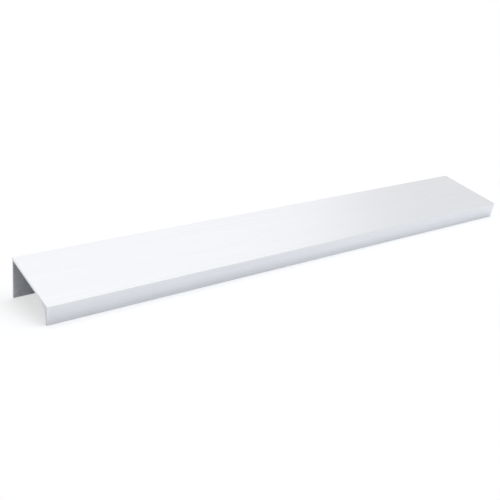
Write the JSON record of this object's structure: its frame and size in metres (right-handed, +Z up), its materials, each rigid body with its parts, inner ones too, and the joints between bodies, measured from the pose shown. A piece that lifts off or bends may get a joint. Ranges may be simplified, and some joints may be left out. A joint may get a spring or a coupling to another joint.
{
  "type": "finger pull profile",
  "caption": "Straight extruded edge pull: a flat plate that hooks over a door or drawer edge, with a screw flange at the back and a short front lip hollowed for the fingertips.",
  "frame": {"origin": "on the floor under the middle of the piece, as it rests on the front edge of its lip and the inner edge of its flange", "axes": "+X along the length, -Y to the front where the lip is, +Y to the back where the flange is, +Z up; the plate slopes down to the front by about 16.8 degrees"},
  "size_m": [0.3, 0.0474, 0.0215],
  "materials": {
    "anodised_aluminium": "satin silver anodised, with faint lengthwise die lines and sawn ends"
  },
  "bodies": {
    "root": {"finger_pull_profile": "anodised_aluminium"}
  },
  "joints": []
}
